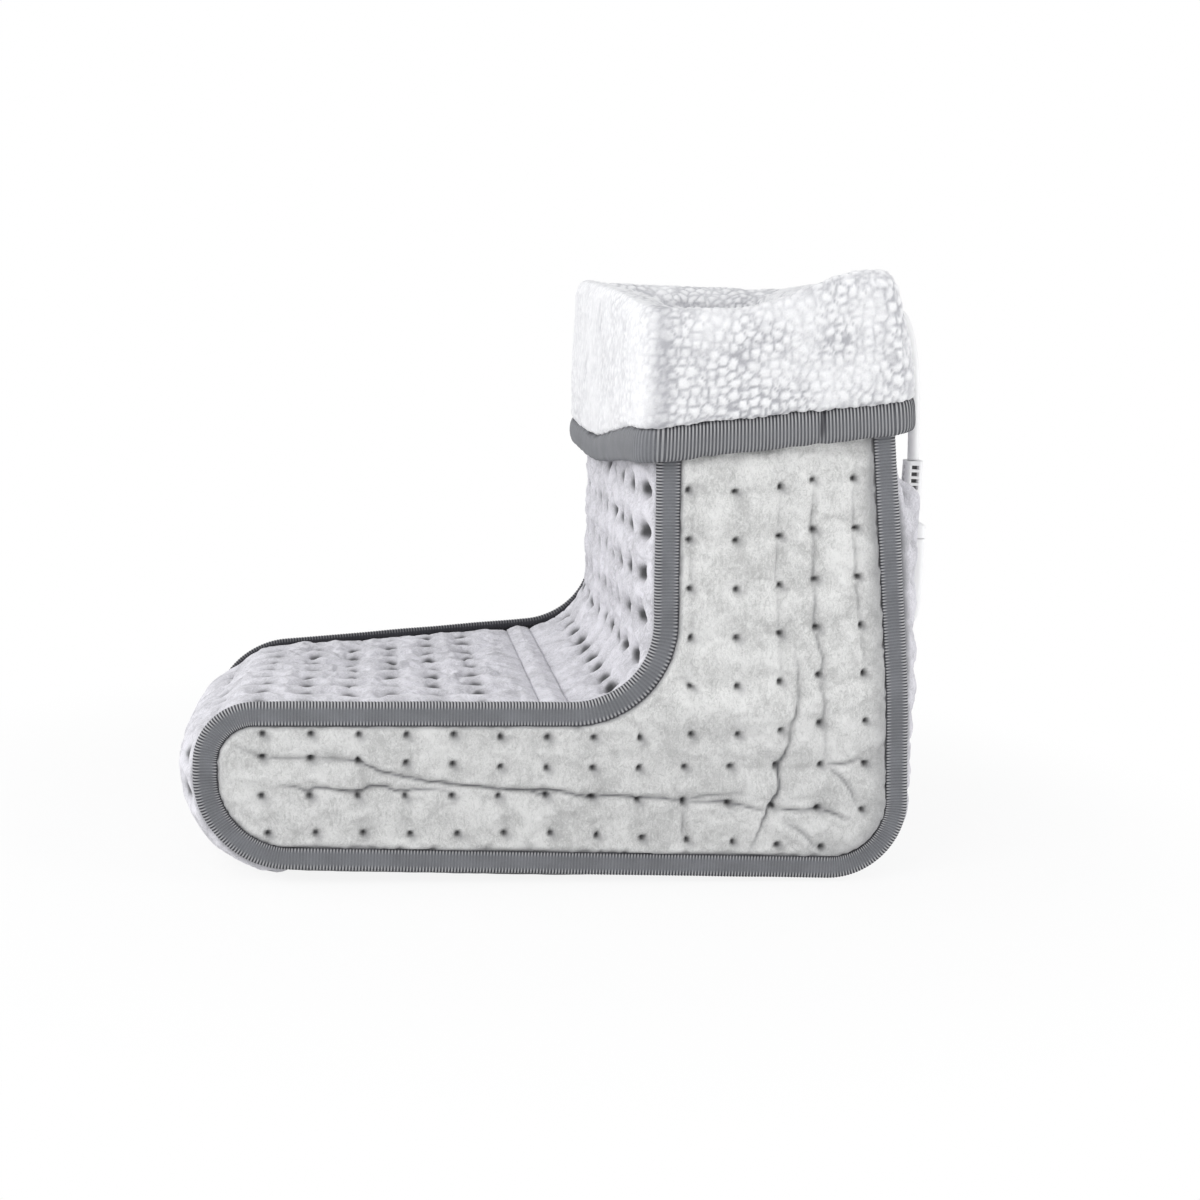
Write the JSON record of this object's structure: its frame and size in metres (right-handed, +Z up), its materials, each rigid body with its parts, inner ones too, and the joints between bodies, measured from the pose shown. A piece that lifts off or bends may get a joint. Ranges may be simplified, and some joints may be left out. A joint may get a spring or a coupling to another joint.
{
  "type": "electric foot warmer",
  "caption": "Quilted electric foot warmer for both feet: a bound boot with a fleece cuff, a heating mat under its lining, a plug-in lead, a hand control and a mains plug.",
  "frame": {"origin": "middle of the footprint of the boot and its socket, on the floor", "axes": "+X from the toe to the heel, +Y to the side that the picture does not show, +Z up"},
  "size_m": [0.3604, 0.3537, 0.283],
  "materials": {
    "plush": "short pale grey plush, quilted",
    "tape": "ribbed grosgrain tape, mid grey",
    "fleece": "white curly fleece",
    "sole_cloth": "woven grey sole cloth",
    "mat_cloth": "non-woven carrier cloth",
    "white_plastic": "moulded, satin",
    "grey_plastic": "moulded, satin",
    "lead": "soft white sheath",
    "wire": "insulated heating wire",
    "board": "coated circuit board",
    "lamp": "clear coloured lens",
    "brass": "plain",
    "steel": "zinc plated"
  },
  "bodies": {
    "boot": {"ankle_hem": "plush", "back_panel": "plush", "binding_left": "tape", "binding_right": "tape", "clamp_plate": "steel", "clamp_screw_1": "steel", "clamp_screw_2": "steel", "coil_tie": "grey_plastic", "control_board": "board", "control_bottom": "grey_plastic", "control_lead": "lead", "control_relief_boot": "lead", "control_relief_mains": "lead", "control_screw_1": "steel", "control_screw_2": "steel", "control_top": "grey_plastic", "cuff_binding": "tape", "heater_carrier": "mat_cloth", "heating_wire": "wire", "inner_lead": "lead", "instep_panel": "plush", "lead_joint": "white_plastic", "level_lamp": "lamp", "lining_back": "fleece", "lining_instep": "fleece", "lining_left": "fleece", "lining_right": "fleece", "lining_shin": "fleece", "lining_sole": "fleece", "mains_coil": "lead", "mains_lead": "lead", "mains_plug_body": "lead", "mains_plug_pin_1": "brass", "mains_plug_pin_2": "brass", "mains_plug_relief": "lead", "mains_tail": "lead", "sherpa_cuff": "fleece", "shin_panel": "plush", "side_panel_left": "plush", "side_panel_right": "plush", "socket_contact_1": "brass", "socket_contact_2": "brass", "socket_contact_3": "brass", "socket_housing": "white_plastic", "sole_panel": "sole_cloth", "thermal_cutout": "steel"},
    "plug": {"plug_core": "grey_plastic", "plug_cover": "white_plastic", "plug_contact_1": "brass", "plug_contact_2": "brass", "plug_contact_3": "brass", "plug_strain_relief": "lead"},
    "slider": {"level_slider": "white_plastic"}
  },
  "joints": [
    {"name": "plug_pull", "type": "slide", "parent": "boot", "child": "plug", "axis": [0, 0, 1], "range_m": [0, 0.014], "deforming": ["control_lead"]},
    {"name": "level_slide", "type": "slide", "parent": "boot", "child": "slider", "axis": [1, 0, 0], "range_m": [0, 0.015]}
  ]
}
